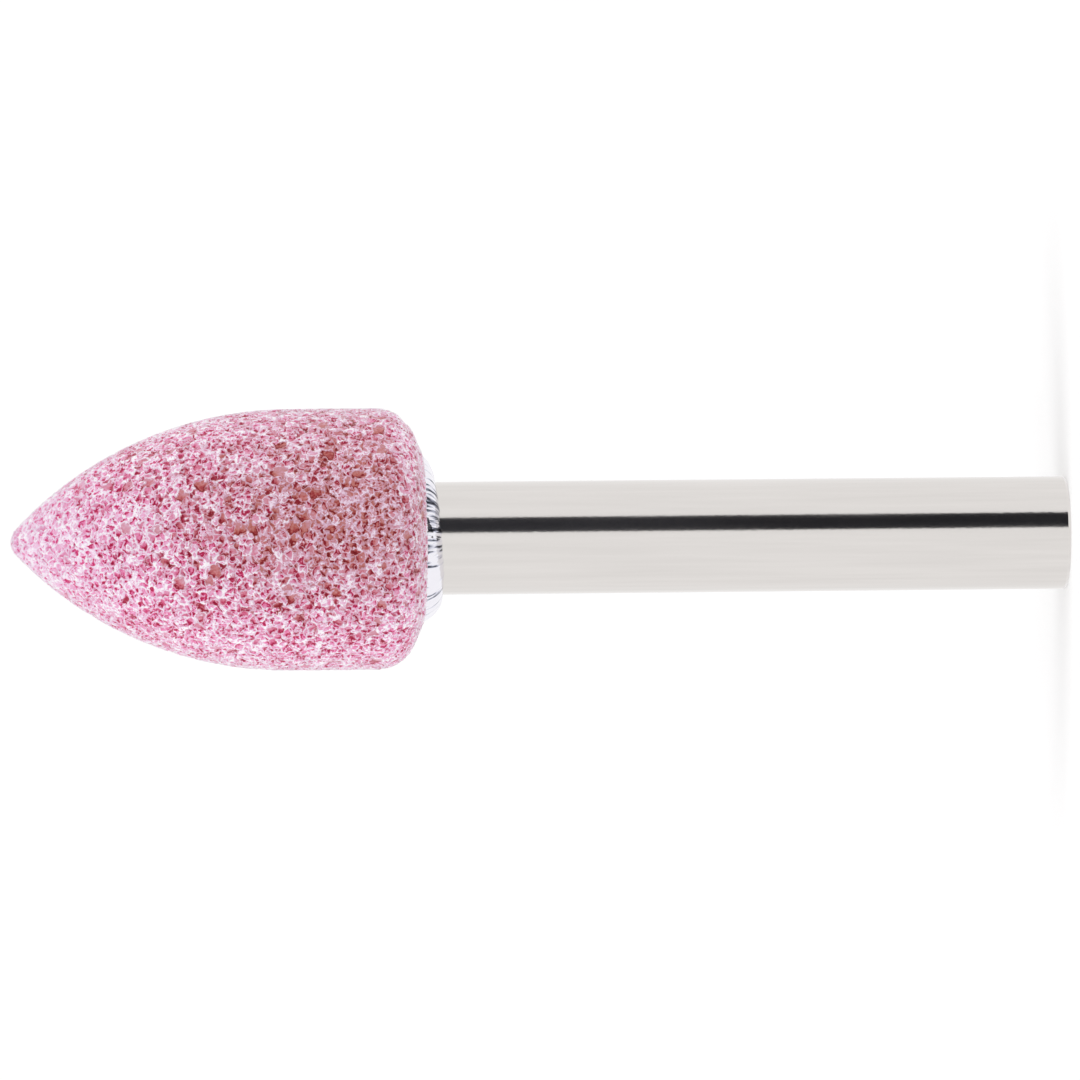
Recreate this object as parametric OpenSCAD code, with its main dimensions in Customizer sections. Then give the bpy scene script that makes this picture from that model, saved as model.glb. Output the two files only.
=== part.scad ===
// Mounted point: a pointed-arch abrasive head cemented onto a round steel shank.
// The tool's axis is Z. It stands on the shank's free end at z = 0, tip up. Sizes are in mm.

/* [Shank] */
// Diameter of the shank where a collet clamps it
shank_d = 6; // [3:0.1:7]
// Length of the shank from its free end to the head's back face
shank_free = 34.3; // [15:0.1:60]
// Edge break around the free end
shank_chamfer = 0.15; // [0.05:0.05:0.5]

/* [Seat in the head] */
// How much smaller in radius the seat is than the shank
seat_step = 0.5; // [0.3:0.05:0.8]
// Length of the seat inside the head
seat_length = 10.8; // [7:0.1:14]
// Edge break around the seat's end
seat_chamfer = 0.5; // [0.2:0.1:0.8]
// Number of grooves that key the cement
groove_count = 3; // [1:1:5]
// Width of a groove at its mouth
groove_w = 1; // [0.6:0.1:1.4]
// Depth of a groove
groove_depth = 0.35; // [0.1:0.05:0.6]

/* [Head] */
// Largest diameter of the head
head_d = 13.9; // [12.4:0.1:18]
// Length of the head from its back face to its tip
head_length = 21.9; // [19:0.1:40]
// Radius of the arch that narrows to the tip
arch_r = 20; // [12:0.5:28]
// Radius of the rounded tip
tip_r = 1; // [0.3:0.1:2.5]
// Slope of the back outside its flat land, in degrees
back_slope = 23; // [6:1:40]
// Radius between the sloped back and the widest part
back_round = 2.2; // [0.5:0.1:3]

/* [Cement] */
// Film between the seat and the hole in the head
cement_film = 0.25; // [0.1:0.05:0.5]
// Plug between the seat's end and the bottom of the hole
cement_plug = 0.4; // [0.2:0.1:1]
// How far the bead spreads over the back face
bead_w = 1.45; // [0.6:0.05:2]
// Height of the bead, from the back face to the shank's shoulder
bead_h = 0.8; // [0.4:0.05:1.4]
// Radius of the bead's bulge
bead_round = 1.4; // [1.1:0.1:3]
// Flat land of the back face that the bead leaves bare
bead_land = 0.05; // [0.05:0.05:0.5]

/* [Hidden] */
$fn = 128;
shank_r = shank_d / 2;
seat_r = shank_r - seat_step;
shoulder_z = shank_free - bead_h;
seat_end = shank_free + seat_length;
groove_pitch = seat_length / (groove_count + 1);
groove_floor = groove_w / 2;

hole_r = seat_r + cement_film;
hole_depth = seat_length + cement_plug;

// Heights on the head: its back face, its tip and the middle of the tip's round.
back_z = shank_free;
tip_z = back_z + head_length;
tip_centre_z = tip_z - tip_r;

// The arch is tangent to the head's widest part and to the tip's round.
head_r = head_d / 2;
arch_centre = [
    head_r - arch_r,
    tip_centre_z - sqrt(pow(arch_r - tip_r, 2) - pow(arch_r - head_r, 2))
];
arch_end_angle = atan2(tip_centre_z - arch_centre[1], -arch_centre[0]);

// The back's round is tangent to its slope and to the widest part.
land_r = shank_r + bead_w + bead_land;
corner_z = back_z + (head_r - land_r) * tan(back_slope);
round_reach = back_round * tan((90 - back_slope) / 2);
round_centre = [head_r - back_round, corner_z + round_reach];

// The bead's bulge is an arc from the shank's shoulder to the back face.
bead_r = shank_r + bead_w;
bead_chord = norm([bead_w, bead_h]);
bead_sag = sqrt(pow(bead_round, 2) - pow(bead_chord / 2, 2));
bead_centre = [
    shank_r + bead_w / 2 - bead_sag * bead_h / bead_chord,
    back_z - bead_h / 2 + bead_sag * bead_w / bead_chord
];

// Points along an arc from one angle to another. One that goes on from another arc starts at step 1.
function arc(centre, r, from, to, steps, first = 0) = [
    for (i = [first : steps])
        let (a = from + (to - from) * i / steps)
        centre + r * [cos(a), sin(a)]
];

// Right half of a plane between two heights, out to a radius.
module band(z_low, z_high, r) {
    translate([0, z_low]) square([r, z_high - z_low]);
}

// One groove in the seat, wider at its mouth than at its floor.
module groove_section(z) {
    polygon([
        [seat_r - groove_depth, z - groove_floor / 2],
        [seat_r - groove_depth, z + groove_floor / 2],
        [seat_r, z + groove_w / 2],
        [seat_r + seat_step, z + groove_w / 2],
        [seat_r + seat_step, z - groove_w / 2],
        [seat_r, z - groove_w / 2]
    ]);
}

// Half section of the shank, with its turned-down seat beyond the shoulder.
module shank_section() {
    difference() {
        polygon([
            [0, 0],
            [shank_r - shank_chamfer, 0],
            [shank_r, shank_chamfer],
            [shank_r, shoulder_z],
            [seat_r, shoulder_z],
            [seat_r, seat_end - seat_chamfer],
            [seat_r - seat_chamfer, seat_end],
            [0, seat_end]
        ]);
        for (i = [1 : groove_count]) groove_section(shank_free + i * groove_pitch);
    }
}

// Half section of the hole in the head.
module hole_section() {
    band(back_z, back_z + hole_depth, hole_r);
}

// Half section of the head, from its back face around to its tip.
module head_section() {
    polygon(concat(
        [[0, back_z], [land_r, back_z]],
        arc(round_centre, back_round, back_slope - 90, 0, 16),
        arc(arch_centre, arch_r, 0, arch_end_angle, 48),
        arc([0, tip_centre_z], tip_r, arch_end_angle, 90, 12, first = 1)
    ));
}

// Half section of the bead on the back face.
module bead_section() {
    intersection() {
        union() {
            translate(bead_centre) circle(r = bead_round);
            polygon([[0, shoulder_z], [shank_r, shoulder_z], [bead_r, back_z], [0, back_z]]);
        }
        band(shoulder_z, back_z, bead_r);
    }
}

// The grinding head, fired as one piece, with a blind hole for the shank.
module abrasive_head() {
    color([0.85, 0.63, 0.70]) rotate_extrude() difference() {
        head_section();
        hole_section();
    }
}

// The steel shank.
module shank() {
    color([0.86, 0.85, 0.84]) rotate_extrude() shank_section();
}

// The cured cement: the film and plug in the hole, and the bead around the shank.
module bond_cement() {
    color([0.84, 0.87, 0.92]) rotate_extrude() difference() {
        union() {
            hole_section();
            bead_section();
        }
        shank_section();
    }
}

abrasive_head();
shank();
bond_cement();
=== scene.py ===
# %% [markdown]
# # A mounted point
# A mounted point is a small grinding stone on a steel pin, made for a die grinder. This one has a
# pointed-arch head of pink aluminium oxide, fired hard and full of pores, and a bead of clear resin
# where the pin goes in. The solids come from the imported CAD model. This lesson dresses each of them for
# the camera: first comes the studio, then the shank, the resin and the stone.

# %% Load the frame
import math

import bpy
from mathutils import Matrix, Vector


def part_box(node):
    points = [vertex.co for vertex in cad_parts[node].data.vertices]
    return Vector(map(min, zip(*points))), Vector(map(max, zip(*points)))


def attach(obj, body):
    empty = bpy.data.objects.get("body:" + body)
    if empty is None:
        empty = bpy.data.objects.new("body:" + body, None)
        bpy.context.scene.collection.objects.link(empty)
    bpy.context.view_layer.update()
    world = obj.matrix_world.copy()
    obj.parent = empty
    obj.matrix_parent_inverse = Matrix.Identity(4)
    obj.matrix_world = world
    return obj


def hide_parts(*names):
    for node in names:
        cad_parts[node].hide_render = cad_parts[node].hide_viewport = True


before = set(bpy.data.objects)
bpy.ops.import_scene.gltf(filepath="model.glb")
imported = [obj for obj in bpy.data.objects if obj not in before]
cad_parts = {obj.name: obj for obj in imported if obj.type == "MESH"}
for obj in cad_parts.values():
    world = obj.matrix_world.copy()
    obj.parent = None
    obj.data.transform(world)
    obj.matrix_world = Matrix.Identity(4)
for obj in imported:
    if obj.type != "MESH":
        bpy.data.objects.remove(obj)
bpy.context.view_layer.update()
print("CAD nodes:", sorted(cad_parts))

# %% [markdown]
# ## Sizes
# A piece has to sit exactly where its solid sits, so the main sizes are read from the solids' boxes.
# Typing them in again would work too, until someone changes the CAD model. Small forms that a box can't
# tell, such as the step down to the seat, are written in millimetres where they are first needed.

# %% Sizes from the solids
MM = 0.001
SEAT_STEP = 0.5
RESIN_FILM = 0.25
tip_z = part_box("abrasive_head")[1].z / MM
back_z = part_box("abrasive_head")[0].z / MM
head_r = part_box("abrasive_head")[1].x / MM
shank_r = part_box("shank")[1].x / MM
seat_end_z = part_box("shank")[1].z / MM
bead_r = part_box("bond_cement")[1].x / MM
shoulder_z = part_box("bond_cement")[0].z / MM
hole_end_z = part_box("bond_cement")[1].z / MM
seat_r = shank_r - SEAT_STEP
hole_r = seat_r + RESIN_FILM
print(f"head {2 * head_r:.2f} mm across and {tip_z - back_z:.2f} mm long")
print(f"shank {2 * shank_r:.2f} mm across, whole tool {tip_z:.2f} mm long")

# %% [markdown]
# ## Camera
# The photograph shows the tool lying across the picture, tip to the left, seen from its side and a
# little from the tip's end. The CAD model stands on its shank, so the camera rolls a quarter turn: its
# right-hand side points down the shank. It could be turned by hand until it fits, but three directions
# at right angles say the same in numbers. A long lens from far away keeps the shank's edges parallel.

# %% Camera
PICTURE = 1080
PIXELS_PER_MM = 18.83
SENSOR_WIDTH = 36
TILT = math.radians(4.4)
LEAN = math.radians(-0.54)
DISTANCE = 0.8
NEAREST = 0.05
MIDDLE_Z = 28.05
DROP_PIXELS = 2.6

forward = Vector((0, math.cos(TILT), -math.sin(TILT)))
down_the_shank = Vector((0, -math.sin(TILT), -math.cos(TILT)))
sideways = Vector((1, 0, 0))
right = down_the_shank * math.cos(LEAN) + sideways * math.sin(LEAN)
up = sideways * math.cos(LEAN) - down_the_shank * math.sin(LEAN)
aim = Vector((0, 0, MIDDLE_Z * MM)) - up * (DROP_PIXELS / PIXELS_PER_MM * MM)

lens = bpy.data.cameras.new("camera")
lens.sensor_width = SENSOR_WIDTH
lens.lens = lens.sensor_width * DISTANCE / (PICTURE / PIXELS_PER_MM * MM)
lens.clip_start = NEAREST
camera = bpy.data.objects.new("camera", lens)
bpy.context.scene.collection.objects.link(camera)
turn_camera = Matrix((right, up, -forward)).transposed().to_4x4()
camera.matrix_world = Matrix.Translation(aim - forward * DISTANCE) @ turn_camera
bpy.context.scene.camera = camera
bpy.context.scene.view_settings.view_transform = "Standard"
print(f"camera {DISTANCE} m away with a {lens.lens:.0f} mm lens")

# %% [markdown]
# ## Nodes and colours
# Every finish below is a small net of nodes, and so is every change of shape that follows a pattern. A
# net could be drawn by hand in the node editor. In a script one function does it all: it adds a node,
# sets it and joins it up. Colours are written as they look on a screen, and another function turns them
# into the linear values that shaders use.

# %% Helpers for nodes and colours
def colour(screen_hex):
    """Turns a screen colour such as #E8C0D0 into linear red, green, blue and alpha."""
    values = []
    for start in (1, 3, 5):
        v = int(screen_hex[start:start + 2], 16) / 255
        values.append(v / 12.92 if v <= 0.04045 else ((v + 0.055) / 1.055) ** 2.4)
    return (*values, 1.0)


def node(tree, kind, sockets=None, stops=(), **settings):
    """Adds a node. A socket takes a value, or a link if it is given another node's socket. The stops
    are those of a colour ramp: a place from 0 to 1 each, with a grey level or a screen colour."""
    made = tree.nodes.new(kind)
    for name, value in settings.items():
        setattr(made, name, value)
    for name, value in (sockets or {}).items():
        if isinstance(value, bpy.types.NodeSocket):
            tree.links.new(value, made.inputs[name])
        else:
            made.inputs[name].default_value = value
    for i, (at, shade) in enumerate(stops):
        steps = made.color_ramp.elements
        step = steps[i] if i < 2 else steps.new(at)
        step.position = at
        step.color = colour(shade) if isinstance(shade, str) else (shade, shade, shade, 1)
    return made


def new_material(name):
    """Gives a material, its node tree and its main shader."""
    material = bpy.data.materials.new(name)
    material.use_nodes = True
    return material, material.node_tree, material.node_tree.nodes["Principled BSDF"]


print("#E8C0D0 in linear values:", [round(value, 3) for value in colour("#E8C0D0")])

# %% [markdown]
# ## Studio
# The photograph has a white ground and very even light. A light tent does that: white walls all around,
# and soft boxes outside. Walls could be modelled, but the world is white on every side without a mesh.
# It is white for the camera and for mirrors, and dimmer as a light, so that the soft boxes can still
# shape the stone.

# %% World
MATH = "ShaderNodeMath"
RANGE = "ShaderNodeMapRange"
RAY = "ShaderNodeLightPath"
WHITE = (1, 1, 1, 1)
FILL = 0.45
world = bpy.data.worlds.new("studio")
bpy.context.scene.world = world
world.use_nodes = True
sky = world.node_tree
sky.nodes.clear()
ray = node(sky, RAY).outputs
seen = node(sky, MATH, {0: ray["Is Camera Ray"], 1: ray["Is Glossy Ray"]}, operation="MAXIMUM").outputs[0]
seen = node(sky, MATH, {0: seen, 1: ray["Is Transmission Ray"]}, operation="MAXIMUM").outputs[0]
strength = node(sky, RANGE, {"Value": seen, "To Min": FILL, "To Max": 1.0}).outputs[0]
glow = node(sky, "ShaderNodeBackground", {"Color": WHITE, "Strength": strength}).outputs[0]
node(sky, "ShaderNodeOutputWorld", {"Surface": glow})
print(f"world: white to the eye, {FILL} as a light")

# %% [markdown]
# The stone's rims are brighter in the photograph than its middle. A brighter world would light both
# alike, so three soft boxes do it, one on each side of the tool and one over its tip. They are kept out
# of mirrors, because they would leave bright bands along the shank.

# %% Soft boxes
BOX_SIZE = 0.4
TOOL_MIDDLE = Vector((0, 0, 0.035))
SOFT_BOXES = (("upper side box", (0.5, -0.15, 0.15), 1.15),
              ("lower side box", (-0.5, -0.15, 0.15), 1.3),
              ("tip box", (0.0, -0.1, 0.6), 1.1))
for name, place, watts in SOFT_BOXES:
    lamp = bpy.data.lights.new(name, "AREA")
    lamp.size = BOX_SIZE
    lamp.energy = watts
    box = bpy.data.objects.new(name, lamp)
    bpy.context.scene.collection.objects.link(box)
    box.location = place
    box.rotation_euler = (TOOL_MIDDLE - Vector(place)).to_track_quat("-Z", "Y").to_euler()
    box.visible_glossy = False
    box.visible_transmission = False
    print(f"{name}: {watts} W")

# %% [markdown]
# The floor is a sheet of matt white paper that takes the tool's shadow. Lit paper alone comes out a
# little grey, and stronger lamps would burn out the stone. So the camera sees the paper glow as well:
# least at the tool's foot, where a glow washes out the shadow, and more with the distance. Mirrors look
# past the floor to the white world, which keeps the shank as even as in the photograph.

# %% Floor
VECTOR = "ShaderNodeVectorMath"
PLACE = "ShaderNodeTexCoord"
FLOOR_SIZE = 12
GLOW_AT_FOOT = 0.15
GLOW_FAR_AWAY = 0.58
GLOW_REACH = 0.75
bpy.ops.object.select_all(action="DESELECT")
bpy.ops.mesh.primitive_plane_add(size=FLOOR_SIZE)
floor = bpy.context.object
floor.name = "floor"
floor.visible_glossy = False
floor.visible_transmission = False
paper, tree, shader = new_material("white paper")
tree.nodes.remove(shader)
matt = node(tree, "ShaderNodeBsdfDiffuse", {"Color": colour("#FFFFFF")}).outputs[0]
place = node(tree, PLACE).outputs["Object"]
far = node(tree, VECTOR, {0: place}, operation="LENGTH").outputs["Value"]
glow = node(tree, RANGE, {"Value": far, "From Max": GLOW_REACH, "To Min": GLOW_AT_FOOT,
                          "To Max": GLOW_FAR_AWAY}).outputs[0]
lit = node(tree, "ShaderNodeEmission", {"Color": WHITE, "Strength": glow}).outputs[0]
both = node(tree, "ShaderNodeAddShader", {0: matt, 1: lit}).outputs[0]
to_camera = node(tree, RAY).outputs["Is Camera Ray"]
pick = node(tree, "ShaderNodeMixShader", {0: to_camera, 1: matt, 2: both}).outputs[0]
tree.links.new(pick, tree.nodes["Material Output"].inputs["Surface"])
floor.data.materials.append(paper)
print(f"floor {FLOOR_SIZE} m wide")

# %% [markdown]
# A bright bar shows whatever stands around it. The dark line along the shank is the mirror image of
# something dark beside the lens. It could be painted onto the steel, but then it would turn with the
# tool. So a card of dark felt, which is matt and gives the eye no shine at all, stands beside the lens,
# where only mirrors can see it.

# %% Dark card
CARD_NEAR = math.radians(10.9)
CARD_FAR = math.radians(42.2)
CARD_DISTANCE = 0.25
CARD_FOOT = -1.2
CARD_TOP = 0.3
bpy.ops.object.select_all(action="DESELECT")
bpy.ops.mesh.primitive_plane_add(size=1)
card = bpy.context.object
card.name = "dark card"
near_edge = Vector((math.sin(CARD_NEAR), -math.cos(CARD_NEAR), 0)) * CARD_DISTANCE
far_edge = Vector((math.sin(CARD_FAR), -math.cos(CARD_FAR), 0)) * CARD_DISTANCE
corners = ((near_edge, CARD_FOOT), (far_edge, CARD_FOOT), (near_edge, CARD_TOP), (far_edge, CARD_TOP))
for vertex, (edge, height) in zip(card.data.vertices, corners):
    vertex.co = edge + Vector((0, 0, height))
felt, tree, shader = new_material("dark felt")
shader.inputs["Base Color"].default_value = colour("#3A3A3F")
shader.inputs["Roughness"].default_value = 1.0
shader.inputs["Specular IOR Level"].default_value = 0.0
card.data.materials.append(felt)
card.visible_camera = False
card.visible_diffuse = False
card.visible_shadow = False
print(f"card {(far_edge - near_edge).length:.3f} m wide")

# %% [markdown]
# ## Turning a piece
# All three pieces are round, so each is made as on a lathe: half of its section is drawn as a chain of
# edges, by extruding one vertex from point to point, and the chain is spun once around the axis. Stacked
# cylinders and cones would give plain steps, but not an arch that runs smoothly into its tip.

# %% Turn a section
SAME_POINT = 1e-6


def turn(name, outline, steps):
    """Draws a half section, given as radius and height in mm, and spins it about the tool's axis."""
    bpy.ops.object.select_all(action="DESELECT")
    bpy.ops.mesh.primitive_plane_add(size=MM)
    piece = bpy.context.object
    piece.name = name
    piece.data.name = name
    bpy.ops.object.mode_set(mode="EDIT")
    bpy.ops.mesh.merge(type="CENTER")
    r, z = outline[0]
    bpy.ops.transform.translate(value=(r * MM, 0, z * MM))
    for next_r, next_z in outline[1:]:
        step = ((next_r - r) * MM, 0, (next_z - z) * MM)
        bpy.ops.mesh.extrude_vertices_move(TRANSFORM_OT_translate={"value": step})
        r, z = next_r, next_z
    bpy.ops.mesh.select_all(action="SELECT")
    bpy.ops.mesh.spin(steps=steps, angle=2 * math.pi, center=(0, 0, 0), axis=(0, 0, 1))
    bpy.ops.mesh.select_all(action="SELECT")
    bpy.ops.mesh.remove_doubles(threshold=SAME_POINT)
    bpy.ops.mesh.delete_loose(use_verts=True, use_edges=True, use_faces=False)
    bpy.ops.mesh.select_all(action="SELECT")
    bpy.ops.mesh.normals_make_consistent(inside=False)
    bpy.ops.object.mode_set(mode="OBJECT")
    print(f"{name}: turned from {len(outline)} points into {len(piece.data.polygons)} faces")
    return piece


# %% [markdown]
# A finished piece gets its material, hangs on the root body and takes the place of its CAD solid, which
# is hidden. The solid could be hidden by hand, but then nothing would say which piece stands for which
# solid.

# %% Finish a piece
def finish_piece(piece, material, node_name):
    """Puts the material on and hangs the piece on the CAD model in place of its solid."""
    piece.data.materials.clear()
    piece.data.materials.append(material)
    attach(piece, "root")
    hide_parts(node_name)
    triangles = sum(len(face.vertices) - 2 for face in piece.data.polygons)
    print(f"{piece.name}: {len(piece.data.vertices)} vertices, {triangles} triangles")


# %% [markdown]
# ## Shank
# The shank is a length of ground steel bar with its end edge broken. The other end is turned down to a
# seat that goes into the stone, with grooves that key the resin. A plain cylinder would look the same
# from outside, but each piece is also kept as a mesh of its own, so it is made whole. The bar's full
# width stops just short of the stone, where the bead covers the step.

# %% Shank
EDGE_BREAK = 0.15
STEP_TO_STONE = 0.1
SEAT_CHAMFER = 0.5
GROOVES = 3
GROOVE_WIDTH = 1.0
GROOVE_DEPTH = 0.35
SHANK_STEPS = 160
SMOOTH_BELOW = math.radians(30)
seat_length = seat_end_z - back_z
step_z = back_z - STEP_TO_STONE
outline = [(0, 0), (shank_r - EDGE_BREAK, 0), (shank_r, EDGE_BREAK), (shank_r, step_z), (seat_r, step_z)]
for i in range(1, GROOVES + 1):
    middle = back_z + i * seat_length / (GROOVES + 1)
    outline.append((seat_r, middle - GROOVE_WIDTH / 2))
    outline.append((seat_r - GROOVE_DEPTH, middle - GROOVE_WIDTH / 4))
    outline.append((seat_r - GROOVE_DEPTH, middle + GROOVE_WIDTH / 4))
    outline.append((seat_r, middle + GROOVE_WIDTH / 2))
outline += [(seat_r, seat_end_z - SEAT_CHAMFER), (seat_r - SEAT_CHAMFER, seat_end_z), (0, seat_end_z)]
shank = turn("steel_shank", outline, SHANK_STEPS)
bpy.ops.object.shade_smooth_by_angle(angle=SMOOTH_BELOW)

# %% [markdown]
# Ground steel is bright, but not a perfect mirror. Fine marks along the bar give the eye a soft grain
# and slightly uneven edges on whatever the bar reflects. A picture of steel would show a seam where its
# ends meet on a round bar, and a noise stretched along the axis shows none. Real marks are hundredths of
# a millimetre wide, too fine to show here, so marks and pits are drawn 0.4 and 0.2 mm wide.

# %% Ground steel
NOISE = "ShaderNodeTexNoise"
RAMP = "ShaderNodeValToRGB"
MARK_WIDTH = 0.4
MARK_STRETCH = 25
PIT_WIDTH = 0.2
PIT_DEPTH = 0.002
STEEL_GREYS = ((0.3, "#DBD7D4"), (0.7, "#E1DDDA"))
SMOOTHEST = 0.08
ROUGHEST = 0.16
steel, tree, shader = new_material("ground steel")
shader.inputs["Metallic"].default_value = 1.0
place = node(tree, PLACE).outputs["Object"]
in_mm = node(tree, VECTOR, {0: place, "Scale": 1 / MM}, operation="SCALE").outputs[0]
drawn = node(tree, VECTOR, {0: in_mm, 1: (1, 1, 1 / MARK_STRETCH)}, operation="MULTIPLY").outputs[0]
marks = node(tree, NOISE, {"Vector": drawn, "Scale": 1 / MARK_WIDTH, "Detail": 3.0}).outputs["Fac"]
grey = node(tree, RAMP, {"Fac": marks}, stops=STEEL_GREYS).outputs["Color"]
rough = node(tree, RANGE, {"Value": marks, "To Min": SMOOTHEST, "To Max": ROUGHEST}).outputs[0]
pits = node(tree, NOISE, {"Vector": in_mm, "Scale": 1 / PIT_WIDTH, "Detail": 2.0}).outputs["Fac"]
bump = node(tree, "ShaderNodeBump", {"Height": pits, "Distance": PIT_DEPTH * MM, "Strength": 1.0})
tree.links.new(grey, shader.inputs["Base Color"])
tree.links.new(rough, shader.inputs["Roughness"])
tree.links.new(bump.outputs[0], shader.inputs["Normal"])
finish_piece(shank, steel, "shank")

# %% [markdown]
# ## Resin
# The resin was soft when the shank went in. It filled the hole around the seat, and what was squeezed
# out set as a bead around the shank. A ring with a round section would be as high as it is wide. One arc
# through the bead's two edges fits its own width and height, and only the arc's centre has to be found.

# %% Arc of the bead
BULGE = 1.4
ARC_STEPS = 32


def arc(centre_r, centre_z, radius, start, end, steps):
    """Points along an arc, from one angle in degrees to another."""
    points = []
    for i in range(steps + 1):
        a = math.radians(start + (end - start) * i / steps)
        points.append((centre_r + radius * math.cos(a), centre_z + radius * math.sin(a)))
    return points


bead_w = bead_r - shank_r
bead_h = back_z - shoulder_z
chord = math.hypot(bead_w, bead_h)
to_chord = math.sqrt(BULGE ** 2 - (chord / 2) ** 2)
bulge_r = shank_r + bead_w / 2 - to_chord * bead_h / chord
bulge_z = back_z - bead_h / 2 + to_chord * bead_w / chord
start = math.degrees(math.atan2(shoulder_z - bulge_z, shank_r - bulge_r))
end = math.degrees(math.atan2(back_z - bulge_z, bead_r - bulge_r))
bead_arc = arc(bulge_r, bulge_z, BULGE, start, end, ARC_STEPS)
print(f"bead {bead_w:.2f} mm wide and {bead_h:.2f} mm high")

# %% [markdown]
# The rest of the section is the film around the seat and the plug under its end. The resin reaches a
# hair's breadth into the steel and the stone's back. Faces that only touch could let a gap show.

# %% Resin
OVERLAP = 0.05
UNDER_BEAD = 0.1
FOOT_SUNK = 0.15
FOOT_SPREAD = 0.08
BEAD_STEPS = 480
inside_r = seat_r - OVERLAP
under_r = shank_r - UNDER_BEAD
foot_z = back_z + FOOT_SUNK
plug_z = seat_end_z - OVERLAP
outline = [(under_r, shoulder_z)] + bead_arc
outline += [(bead_r + FOOT_SPREAD, foot_z), (hole_r, foot_z), (hole_r, hole_end_z), (0, hole_end_z)]
outline += [(0, plug_z), (inside_r - SEAT_CHAMFER, plug_z), (inside_r, seat_end_z - SEAT_CHAMFER)]
outline += [(inside_r, step_z - OVERLAP), (under_r, step_z - OVERLAP), (under_r, shoulder_z)]
resin_bead = turn("resin_bead", outline, BEAD_STEPS)
bpy.ops.object.shade_smooth_by_angle(angle=SMOOTH_BELOW)

# %% [markdown]
# Squeezed resin is never quite even. Pulling at single vertices would take all day, so a tree of
# geometry nodes moves them by rule. It is applied, and the result is an ordinary mesh.

# %% Reshape by nodes
def new_reshape(name):
    """Gives an empty tree of geometry nodes and the geometry that comes into it."""
    tree = bpy.data.node_groups.new(name, "GeometryNodeTree")
    for way in ("INPUT", "OUTPUT"):
        tree.interface.new_socket("Geometry", in_out=way, socket_type="NodeSocketGeometry")
    return tree, node(tree, "NodeGroupInput").outputs[0]


def reshape(piece, tree, geometry, shift):
    """Moves every vertex by the shift and keeps the result as the mesh of the piece, the active one."""
    moved = node(tree, "GeometryNodeSetPosition", {"Geometry": geometry, "Offset": shift}).outputs[0]
    node(tree, "NodeGroupOutput", {0: moved})
    change = piece.modifiers.new(tree.name, "NODES")
    change.node_group = tree
    bpy.ops.object.modifier_apply(modifier=change.name)
    print(f"{piece.name}: {tree.name}, now {piece.dimensions.z / MM:.2f} mm long")


# %% [markdown]
# The bead's free edge is shifted towards the stone, by 0.1 mm on average, by up to 0.32 mm on its short
# side, and a little the other way across from it. Folds up to 0.05 mm high run from the shank to the
# stone. Both fade out at the stone's back, where the bead has to meet it.

# %% Shift of the free edge
SPLIT = "ShaderNodeSeparateXYZ"
MEAN_SHIFT = 0.1
SHORT_SIDE = (0.2, 0.1, 0)
squeeze, resin_in = new_reshape("squeezed out")
place = node(squeeze, "GeometryNodeInputPosition").outputs[0]
around = node(squeeze, VECTOR, {0: place, 1: (1, 1, 0)}, operation="MULTIPLY").outputs[0]
around = node(squeeze, VECTOR, {0: around}, operation="NORMALIZE").outputs[0]
height = node(squeeze, SPLIT, {0: place}).outputs[2]
free = node(squeeze, RANGE, {"Value": height, "From Min": back_z * MM,
                             "From Max": shoulder_z * MM}).outputs[0]
rise = node(squeeze, VECTOR, {0: around, 1: SHORT_SIDE}, operation="DOT_PRODUCT").outputs["Value"]
rise = node(squeeze, MATH, {0: rise, 1: MEAN_SHIFT}, operation="ADD").outputs[0]
rise = node(squeeze, MATH, {0: rise, 1: free}, operation="MULTIPLY").outputs[0]
lift = node(squeeze, "ShaderNodeCombineXYZ", {2: rise}).outputs[0]
lift = node(squeeze, VECTOR, {0: lift, "Scale": MM}, operation="SCALE").outputs[0]
print(f"free edge shifted by {MEAN_SHIFT - math.hypot(*SHORT_SIDE):.2f}",
      f"to {MEAN_SHIFT + math.hypot(*SHORT_SIDE):.2f} mm")

# %% [markdown]
# The folds are a noise that changes only around the axis. A step of one in it is one radian over eight,
# which is about half a millimetre on the bead.

# %% Folds of the bead
FOLDS_PER_RADIAN = 8.0
FOLD_HEIGHT = 0.05
NOISE_LOW = 0.3
NOISE_HIGH = 0.7
spokes = node(squeeze, VECTOR, {0: around, "Scale": FOLDS_PER_RADIAN}, operation="SCALE").outputs[0]
folds = node(squeeze, NOISE, {"Vector": spokes, "Scale": 1.0, "Detail": 4.0,
                              "Roughness": 0.65}).outputs["Fac"]
folds = node(squeeze, RANGE, {"Value": folds, "From Min": NOISE_LOW, "From Max": NOISE_HIGH,
                              "To Min": -FOLD_HEIGHT, "To Max": FOLD_HEIGHT}).outputs[0]
folds = node(squeeze, MATH, {0: folds, 1: free}, operation="MULTIPLY").outputs[0]
folds = node(squeeze, MATH, {0: folds, 1: MM}, operation="MULTIPLY").outputs[0]
outward = node(squeeze, "GeometryNodeInputNormal").outputs[0]
swell = node(squeeze, VECTOR, {0: outward, "Scale": folds}, operation="SCALE").outputs[0]
shift = node(squeeze, VECTOR, {0: lift, 1: swell}, operation="ADD").outputs[0]
reshape(resin_bead, squeeze, resin_in, shift)
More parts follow.
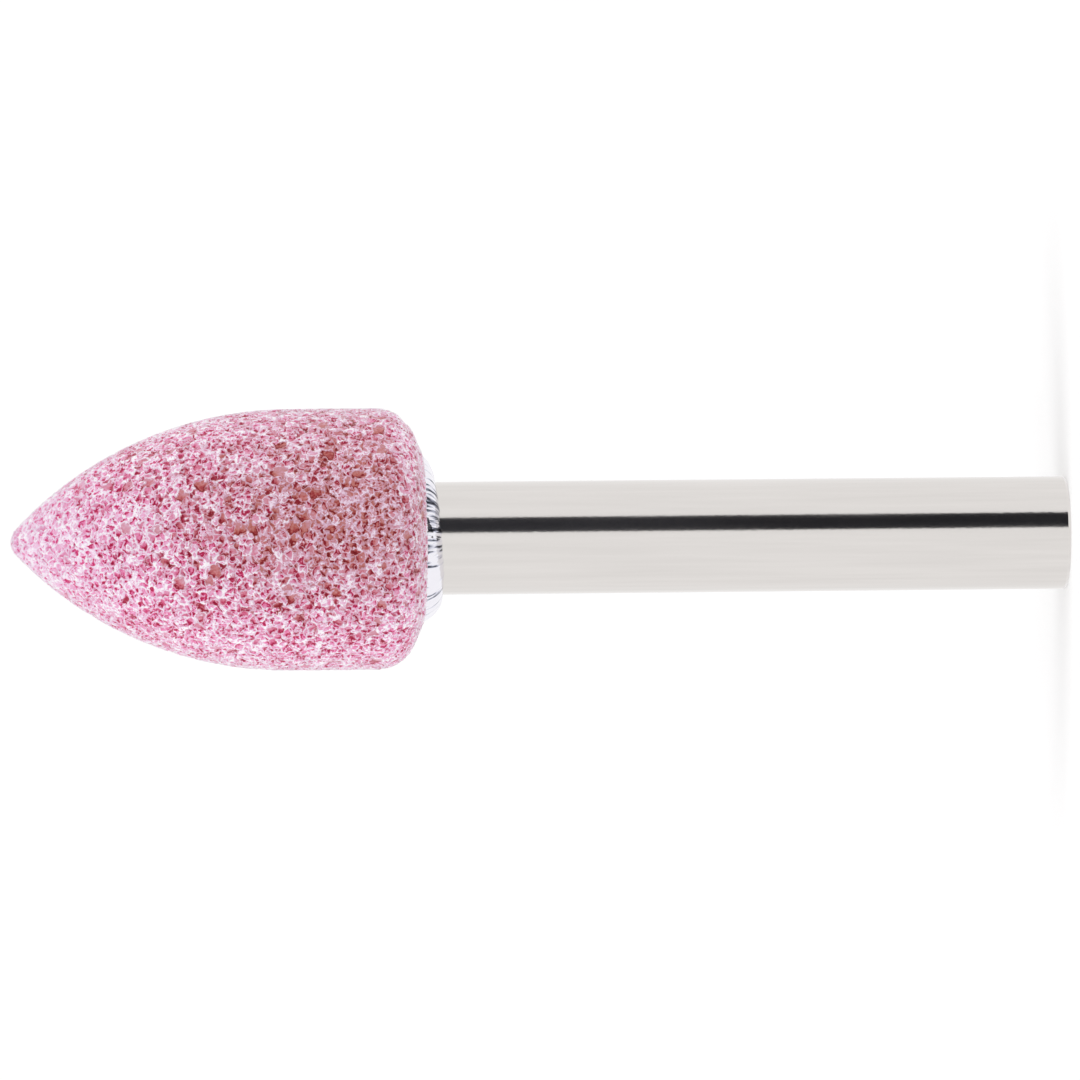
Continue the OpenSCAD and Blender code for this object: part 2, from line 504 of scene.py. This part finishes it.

# %% [markdown]
# Clear resin around a bright bar looks like liquid metal: nearly white, with dark streaks where it bends
# the picture of what is dark around it. A glass shader lets too much of the pink stone through and comes
# out too dark. So the finish is glossy and mirror-like, and the dark streaks are painted reflections in
# its colour. They run from the shank to the stone and sway a little. They are about 0.15 mm wide, 24 to
# the radian. A wider noise crowds them together here and there, and they are darkest on the side by the
# dark card, as a painted reflection of it.

# %% Clear resin
STREAKS_PER_RADIAN = 24.0
STREAK_SWAY = 1.2
CROWDS_PER_RADIAN = 2.5
CARD_SIDE = (0.43, -0.903, 0)
CARD_EDGE = 0.955
CARD_CORE = 0.995
CARD_SHADE = -0.24
REFLECTED_STREAK_GREYS = ((0.72, "#1E1E28"), (0.78, "#7E808E"), (0.84, "#D0D0DE"), (0.93, "#F2F0F7"))
resin, tree, shader = new_material("clear resin")
place = node(tree, PLACE).outputs["Object"]
around = node(tree, VECTOR, {0: place, 1: (1, 1, 0)}, operation="MULTIPLY").outputs[0]
around = node(tree, VECTOR, {0: around}, operation="NORMALIZE").outputs[0]
spokes = node(tree, VECTOR, {0: around, "Scale": STREAKS_PER_RADIAN}, operation="SCALE").outputs[0]
along = node(tree, VECTOR, {0: place, 1: (0, 0, STREAK_SWAY / MM)}, operation="MULTIPLY").outputs[0]
spokes = node(tree, VECTOR, {0: spokes, 1: along}, operation="ADD").outputs[0]
lines = node(tree, NOISE, {"Vector": spokes, "Scale": 1.0, "Detail": 2.0}).outputs["Fac"]
crowd = node(tree, NOISE, {"Vector": around, "Scale": CROWDS_PER_RADIAN, "Detail": 1.0}).outputs["Fac"]
# Painted reflection of the dark card: the streaks darken on the side where the card stands.
near = node(tree, VECTOR, {0: around, 1: CARD_SIDE}, operation="DOT_PRODUCT").outputs["Value"]
near = node(tree, RANGE, {"Value": near, "From Min": CARD_EDGE, "From Max": CARD_CORE,
                          "To Max": CARD_SHADE}).outputs[0]
bright = node(tree, MATH, {0: lines, 1: crowd}, operation="ADD").outputs[0]
bright = node(tree, MATH, {0: bright, 1: near}, operation="ADD").outputs[0]
reflected_streaks = node(tree, RAMP, {"Fac": bright}, stops=REFLECTED_STREAK_GREYS).outputs["Color"]
tree.links.new(reflected_streaks, shader.inputs["Base Color"])
shader.inputs["Metallic"].default_value = 0.9
shader.inputs["Roughness"].default_value = 0.06
finish_piece(resin_bead, resin, "bond_cement")

# %% [markdown]
# ## Stone
# The stone is grit and bond, pressed, fired and dressed to shape on a lathe. Its section is a flat land
# under the bead, a sloped back, a round, a long arch and a small round tip. A stretched ball would give
# an egg, not a pointed arch. Each arc here starts in the direction in which the line before it ends, so
# the light runs over the whole side without a break.

# %% Stone
LAND = 0.05
BACK_SLOPE = math.radians(23)
BACK_ROUND = 2.2
ARCH_RADIUS = 20.0
TIP_RADIUS = 1.0
ROUND_STEPS = 12
ARCH_STEPS = 40
TIP_STEPS = 8
STONE_STEPS = 128
land_r = bead_r + LAND
reach = BACK_ROUND * math.tan((math.pi / 2 - BACK_SLOPE) / 2)
round_r = head_r - BACK_ROUND
round_z = back_z + (head_r - land_r) * math.tan(BACK_SLOPE) + reach
arch_r = head_r - ARCH_RADIUS
top_z = tip_z - TIP_RADIUS
arch_z = top_z - math.sqrt((ARCH_RADIUS - TIP_RADIUS) ** 2 - arch_r ** 2)
arch_end = math.degrees(math.atan2(top_z - arch_z, -arch_r))
outline = [(0, back_z), (land_r, back_z)]
outline += arc(round_r, round_z, BACK_ROUND, math.degrees(BACK_SLOPE) - 90, 0, ROUND_STEPS)
outline += arc(arch_r, arch_z, ARCH_RADIUS, 0, arch_end, ARCH_STEPS)
outline += arc(0, top_z, TIP_RADIUS, arch_end, 90, TIP_STEPS)[1:]
stone = turn("pink_stone", outline, STONE_STEPS)

# %% [markdown]
# The lathe leaves long thin faces near the tip, and subdividing would only make thinner ones of them. A
# voxel remesh lays an even net of small squares over the whole stone, fine enough to carry single grains.

# %% Even net
NET = 0.115
net = stone.modifiers.new("even net", "REMESH")
net.mode = "VOXEL"
net.voxel_size = NET * MM
bpy.ops.object.modifier_apply(modifier="even net")
print("net:", len(stone.data.polygons), "faces")

# %% [markdown]
# The shank's seat goes into a blind hole in the stone's back. The hole could be part of the turned
# section, but then the net would spend its squares on a hidden wall. So a cylinder stands where the hole
# is, and a Boolean cuts it out. It reaches out of the back, so that the hole's mouth is cut clean.

# %% Hole for the shank
MOUTH = 1.0
HOLE_SIDES = 96
drill_length = hole_end_z - back_z + MOUTH
bpy.ops.object.select_all(action="DESELECT")
bpy.ops.mesh.primitive_cylinder_add(vertices=HOLE_SIDES, radius=hole_r * MM, depth=drill_length * MM,
                                    location=(0, 0, (hole_end_z - drill_length / 2) * MM))
drill = bpy.context.object
drill.select_set(False)
stone.select_set(True)
bpy.context.view_layer.objects.active = stone
hole = stone.modifiers.new("hole", "BOOLEAN")
hole.operation = "DIFFERENCE"
hole.object = drill
bpy.ops.object.modifier_apply(modifier="hole")
bpy.data.objects.remove(drill)
print(f"hole {2 * hole_r:.2f} mm wide and {hole_end_z - back_z:.2f} mm deep")

# %% [markdown]
# ## Grit
# Fired grit is a heap of grains in a glassy bond. Dressing cuts through both: each cut grain or open pore
# shows as a darker patch, and the bond stands around it as a pale web. The web's whiteness is partly the
# bond's own colour and partly painted highlight, where grain edges would catch the light. Most patches
# slope down to one side, into a deep crimson shadow under the web, and that shadow is painted shade in
# the colour. Modelling thousands of grains would be far too heavy. A cell pattern is the natural start
# for
# such a heap: a cell is one patch, and its random numbers say how pale it is and which of its sides is
# dark. Widths along the web are in millimetres, and those across a patch are shares of the patch's own
# size.

# %% Patches of one size
CELLS = "ShaderNodeTexVoronoi"
HALF = (0.5, 0.5, 0.5)
WEB_EDGE = 0.062
WEB_CORE = 0.034
WEB_RAGGED = -0.17
SHADOW_BAND = ((0.03, 0.0), (0.036, 1.0), (0.1, 1.0), (0.125, 0.0))
SHADOW_RAGGED = -0.1
SHADOW_STARTS = 0.06
SHADOW_FULL = 0.12
SLOPE_TOP = -0.3
SLOPE_FOOT = 0.4
SLOPE_SHADOW = 0.6


def patches(tree, place, uneven, spacing):
    """For a place in mm, gives its patch's random numbers, its shadow and the pale web."""
    look_up = {"Vector": place, "Scale": 1 / spacing}
    patch = node(tree, CELLS, look_up).outputs
    to_edge = node(tree, CELLS, look_up, feature="DISTANCE_TO_EDGE").outputs["Distance"]
    to_edge = node(tree, MATH, {0: to_edge, 1: spacing}, operation="MULTIPLY").outputs[0]
    to_web = node(tree, MATH, {0: uneven, 1: WEB_RAGGED, 2: to_edge}, operation="MULTIPLY_ADD").outputs[0]
    web = node(tree, RANGE, {"Value": to_web, "From Min": WEB_EDGE, "From Max": WEB_CORE}).outputs[0]

    off_centre = node(tree, VECTOR, {0: place, 1: patch["Position"]}, operation="SUBTRACT").outputs[0]
    dark_way = node(tree, VECTOR, {0: patch["Color"], 1: HALF}, operation="SUBTRACT").outputs[0]
    dark_way = node(tree, VECTOR, {0: dark_way}, operation="NORMALIZE").outputs[0]
    side = node(tree, VECTOR, {0: off_centre, 1: dark_way}, operation="DOT_PRODUCT").outputs["Value"]
    dark = node(tree, RANGE, {"Value": side, "From Min": SHADOW_STARTS * spacing,
                              "From Max": SHADOW_FULL * spacing}).outputs[0]
    to_rim = node(tree, MATH, {0: uneven, 1: SHADOW_RAGGED, 2: to_edge},
                  operation="MULTIPLY_ADD").outputs[0]
    rim = node(tree, RAMP, {"Fac": to_rim}, stops=SHADOW_BAND).outputs["Color"]
    under_rim = node(tree, MATH, {0: dark, 1: rim}, operation="MULTIPLY").outputs[0]
    slope = node(tree, RANGE, {"Value": side, "From Min": SLOPE_TOP * spacing,
                               "From Max": SLOPE_FOOT * spacing, "To Max": SLOPE_SHADOW}).outputs[0]
    shadow = node(tree, MATH, {0: under_rim, 1: slope}, operation="MAXIMUM").outputs[0]
    chance = node(tree, SPLIT, {0: patch["Color"]}).outputs
    return chance, shadow, web


print(f"web {2 * WEB_EDGE:.3f} mm wide between two patches")

# %% [markdown]
# Real patches come in several sizes and have no straight edges. So the place is bent by a noise before
# its cell is looked up, and here and there a patch of a larger pattern takes the place of small ones.
# The same function shapes the relief and sets the colours below, so each dark patch lies in its own
# hollow. Widths are in millimetres, matched to the photograph, where the shank is taken as 6 mm thick.

# %% Pattern of the grit
MIX = "ShaderNodeMix"
SMALL_PATCH = 0.37
LARGE_PATCH = 0.58
LARGE_SHARE = 0.09
BEND = 0.7
BEND_WIDTH = 1 / 2.6
RAGGED_WIDTH = 1 / 5.0
DUST_WIDTH = 1 / 7.5


def grit_pattern(tree, place):
    """Gives the place in mm and, for it, whether the patch is large, how pale it is, its shadow, the
    pale web and the dust, which runs from about -0.3 to 0.3."""
    in_mm = node(tree, VECTOR, {0: place, "Scale": 1 / MM}, operation="SCALE").outputs[0]
    bend = node(tree, NOISE, {"Vector": in_mm, "Scale": 1 / BEND_WIDTH, "Detail": 2.0}).outputs["Color"]
    bend = node(tree, VECTOR, {0: bend, 1: HALF}, operation="SUBTRACT").outputs[0]
    bend = node(tree, VECTOR, {0: bend, "Scale": BEND}, operation="SCALE").outputs[0]
    bent = node(tree, VECTOR, {0: in_mm, 1: bend}, operation="ADD").outputs[0]
    uneven = node(tree, NOISE, {"Vector": in_mm, "Scale": 1 / RAGGED_WIDTH, "Detail": 1.5}).outputs["Fac"]
    uneven = node(tree, MATH, {0: uneven, 1: 0.5}, operation="SUBTRACT").outputs[0]
    dust = node(tree, NOISE, {"Vector": in_mm, "Scale": 1 / DUST_WIDTH, "Detail": 1.0}).outputs["Fac"]
    dust = node(tree, MATH, {0: dust, 1: 0.5}, operation="SUBTRACT").outputs[0]

    small_chance, small_shadow, small_web = patches(tree, bent, uneven, SMALL_PATCH)
    large_chance, large_shadow, large_web = patches(tree, bent, uneven, LARGE_PATCH)
    large = node(tree, MATH, {0: large_chance[0], 1: LARGE_SHARE}, operation="LESS_THAN").outputs[0]
    pale = node(tree, MIX, {0: large, 2: small_chance[0], 3: large_chance[1]}).outputs[0]
    shadow = node(tree, MIX, {0: large, 2: small_shadow, 3: large_shadow}).outputs[0]
    web = node(tree, MIX, {0: large, 2: small_web, 3: large_web}).outputs[0]
    return {"in mm": in_mm, "large": large, "pale": pale, "shadow": shadow, "web": web, "dust": dust}


print(f"small patches {SMALL_PATCH} mm wide, large ones {LARGE_PATCH} mm")

# %% [markdown]
# The relief pushes every patch a little way into the stone, dark ones and dark sides deepest, and leaves
# the web where the lathe cut it. A bump in the material would leave the stone's outline smooth, so the
# mesh itself is pushed. The place before the push is kept with each vertex, for the colours.

# %% Depth of the patches
DARK_DEPTH = 0.1
PALE_DEPTH = 0.03
SHADOW_DEPTH = 0.05
relief, stone_in = new_reshape("grit relief")
place = node(relief, "GeometryNodeInputPosition").outputs[0]
kept = node(relief, "GeometryNodeStoreNamedAttribute",
            {"Geometry": stone_in, "Name": "dressed", "Value": place},
            data_type="FLOAT_VECTOR", domain="POINT").outputs[0]
grit = grit_pattern(relief, place)
sunk = node(relief, RANGE, {"Value": grit["pale"], "To Min": DARK_DEPTH, "To Max": PALE_DEPTH}).outputs[0]
hollow = node(relief, MATH, {0: 1.0, 1: grit["web"]}, operation="SUBTRACT").outputs[0]
depth = node(relief, MATH, {0: hollow, 1: sunk}, operation="MULTIPLY").outputs[0]
depth = node(relief, MATH, {0: grit["shadow"], 1: SHADOW_DEPTH, 2: depth},
             operation="MULTIPLY_ADD").outputs[0]
print(f"patches sunk by {PALE_DEPTH:.2f} to {DARK_DEPTH + SHADOW_DEPTH:.2f} mm")

# %% [markdown]
# An edge of fired grit crumbles. The stone's back edge has lost a few grains, in shallow chips that run
# along it. They could be cut out with more Booleans, but a push keeps the grit's relief inside them. Each
# chip is an angle around the axis in degrees, a height and a depth. The places are turned until the chip
# lies on the X axis, where its reach across, along and above the edge is easy to write down.

# %% Chips on the back edge
CHIPS = ((0, 35.2, 0.28), (58, 35.3, 0.2), (105, 35.6, 0.15), (140, 35.2, 0.18), (243, 35.3, 0.1))
CHIP_REACH = (0.42, 1.9, 0.42)
for angle, chip_z, chip_depth in CHIPS:
    chip_r = round_r + math.sqrt(BACK_ROUND ** 2 - (chip_z - round_z) ** 2)
    turned = node(relief, "ShaderNodeVectorRotate",
                  {"Vector": grit["in mm"], "Angle": -math.radians(angle)},
                  rotation_type="Z_AXIS").outputs[0]
    off_chip = node(relief, VECTOR, {0: turned, 1: (chip_r, 0, chip_z)}, operation="SUBTRACT").outputs[0]
    off_chip = node(relief, VECTOR, {0: off_chip, 1: CHIP_REACH}, operation="DIVIDE").outputs[0]
    off_chip = node(relief, VECTOR, {0: off_chip}, operation="LENGTH").outputs["Value"]
    chip = node(relief, RANGE, {"Value": off_chip, "From Min": 1.0, "From Max": 0.0,
                                "To Max": chip_depth}, interpolation_type="SMOOTHSTEP").outputs[0]
    depth = node(relief, MATH, {0: depth, 1: chip}, operation="ADD").outputs[0]
    print(f"chip at {angle} degrees, {chip_depth} mm deep")

# %% [markdown]
# All the depths are added up now. The push goes straight into the surface, against its normal. A push
# towards the axis would be simpler, but it would slant on the tip and on the sloped back. Smooth shading
# hides the net's squares, and the relief still shows.

# %% Relief of the grit
inward = node(relief, MATH, {0: depth, 1: -MM}, operation="MULTIPLY").outputs[0]
outward = node(relief, "GeometryNodeInputNormal").outputs[0]
push = node(relief, VECTOR, {0: outward, "Scale": inward}, operation="SCALE").outputs[0]
reshape(stone, relief, kept, push)
bpy.ops.object.shade_smooth()

# %% [markdown]
# ## Fired alumina
# Alumina grit with a trace of chrome is pink. Fired and dressed, it gives the eye a chalky, matt stone:
# nearly white webs, pink patches and crimson hollows. The crimson is painted shadow, and the webs'
# whiteness is partly painted highlight. A picture of grit would repeat or stretch over the tip, so the
# colours come from the pattern of the relief. One tone from dark to pale is worked out first. A patch has
# its own tone, dust varies it, the painted shadow darkens it and the web lifts it, partly as painted
# highlight. The tip is paler in the photograph, so the tone there is drawn towards a pale one.

# %% Tone of the grit
TONE_DARK = 0.36
TONE_PALE = 0.64
DUST_TONE = 0.62
PAINTED_SHADOW_TONE = -0.64
WEB_AND_HIGHLIGHT_TONE = 0.42
TIP_TONE = 0.88
TIP_STARTS = 50.0
TIP_FULL = 55.0
TIP_SHARE = 0.45
alumina, tree, shader = new_material("pink fired alumina")
dressed = node(tree, "ShaderNodeAttribute", attribute_name="dressed").outputs["Vector"]
grit = grit_pattern(tree, dressed)
tone = node(tree, RANGE, {"Value": grit["pale"], "To Min": TONE_DARK, "To Max": TONE_PALE}).outputs[0]
# The shadow added here is painted shade, and the web's lift is partly painted highlight.
for part, weight in (("dust", DUST_TONE), ("shadow", PAINTED_SHADOW_TONE), ("web", WEB_AND_HIGHLIGHT_TONE)):
    tone = node(tree, MATH, {0: grit[part], 1: weight, 2: tone}, operation="MULTIPLY_ADD").outputs[0]
    print(f"{part} counts {weight} times in the tone")
height = node(tree, SPLIT, {0: grit["in mm"]}).outputs[2]
at_tip = node(tree, RANGE, {"Value": height, "From Min": TIP_STARTS, "From Max": TIP_FULL,
                            "To Max": TIP_SHARE}).outputs[0]
tone = node(tree, MIX, {0: at_tip, 2: tone, 3: TIP_TONE}).outputs[0]

# %% [markdown]
# The pink isn't the same all over: the side that faces the camera is browner and darker, with soft
# borders. That is partly a brown tint of the stone and partly painted shade, since that side gets the
# least light from the soft boxes. One row of colours tinted by place would turn webs and hollows alike.
# So two rows take the same tones, one pink and one darker brown, and the distance from the middle of the
# brown, shaded side mixes them. Patches turn brown one after another, the large ones first and the pale
# ones last, and the back stays pinker.

# %% Pink, brown and painted shade
PINKS = ((0.0, "#BC004C"), (0.15, "#D82C78"), (0.35, "#EA7CB0"),
         (0.6, "#EEB2D6"), (0.8, "#F4DAF0"), (1.0, "#FFFCFF"))
SHADED_BROWNS = ((0.0, "#86101A"), (0.15, "#A6383A"), (0.35, "#C07068"),
          (0.6, "#CA8C98"), (0.8, "#D4A4BC"), (1.0, "#F0D6EA"))
SHADED_SIDE_MIDDLE = (1.6, -6.6, 38.2)
SHADED_SIDE_REACH = (4.6, 6, 7.9)
BROWN_FULL = 0.5
BROWN_ENDS = 2.45
BACK_STARTS = 37.0
BACK_FULL = 34.5
BACK_PINKER = 0.6
LARGE_FIRST = -0.3
PALE_LAST = 0.9
pink = node(tree, RAMP, {"Fac": tone}, stops=PINKS).outputs["Color"]
brown = node(tree, RAMP, {"Fac": tone}, stops=SHADED_BROWNS).outputs["Color"]
# The brown side's darkness is painted shade on the side facing the camera, mixed with a brown tint.
away = node(tree, VECTOR, {0: grit["in mm"], 1: SHADED_SIDE_MIDDLE}, operation="SUBTRACT").outputs[0]
away = node(tree, VECTOR, {0: away, 1: SHADED_SIDE_REACH}, operation="DIVIDE").outputs[0]
away = node(tree, VECTOR, {0: away}, operation="LENGTH").outputs["Value"]
at_back = node(tree, RANGE, {"Value": height, "From Min": BACK_STARTS, "From Max": BACK_FULL,
                             "To Max": BACK_PINKER}).outputs[0]
away = node(tree, MATH, {0: away, 1: at_back}, operation="ADD").outputs[0]
late = node(tree, MIX, {0: grit["large"], 2: grit["pale"], 3: LARGE_FIRST}).outputs[0]
late = node(tree, MATH, {0: late, 1: PALE_LAST, 2: away}, operation="MULTIPLY_ADD").outputs[0]
brown_and_shade = node(tree, RANGE, {"Value": late, "From Min": BROWN_ENDS, "From Max": BROWN_FULL},
               interpolation_type="SMOOTHSTEP").outputs[0]
mixed = node(tree, MIX, {0: brown_and_shade, 6: pink, 7: brown}, data_type="RGBA").outputs[2]
tree.links.new(mixed, shader.inputs["Base Color"])
print(f"{len(PINKS)} pinks and {len(SHADED_BROWNS)} browns")

# %% [markdown]
# Broken grit scatters light every way, so the stone has almost no shine. Its dusty surface turns pale
# towards the rim, as velvet does. That could be painted by angle, but sheen is made for it and follows
# the light. A slight bump adds what is finer than the net's squares.

# %% Matt, dusty finish
BUMP_DEPTH = 0.03
shader.inputs["Roughness"].default_value = 0.8
shader.inputs["Specular IOR Level"].default_value = 0.1
shader.inputs["Sheen Weight"].default_value = 0.85
shader.inputs["Sheen Roughness"].default_value = 0.5
bump = node(tree, "ShaderNodeBump", {"Height": tone, "Distance": BUMP_DEPTH * MM, "Strength": 0.2})
tree.links.new(bump.outputs[0], shader.inputs["Normal"])
finish_piece(stone, alumina, "abrasive_head")
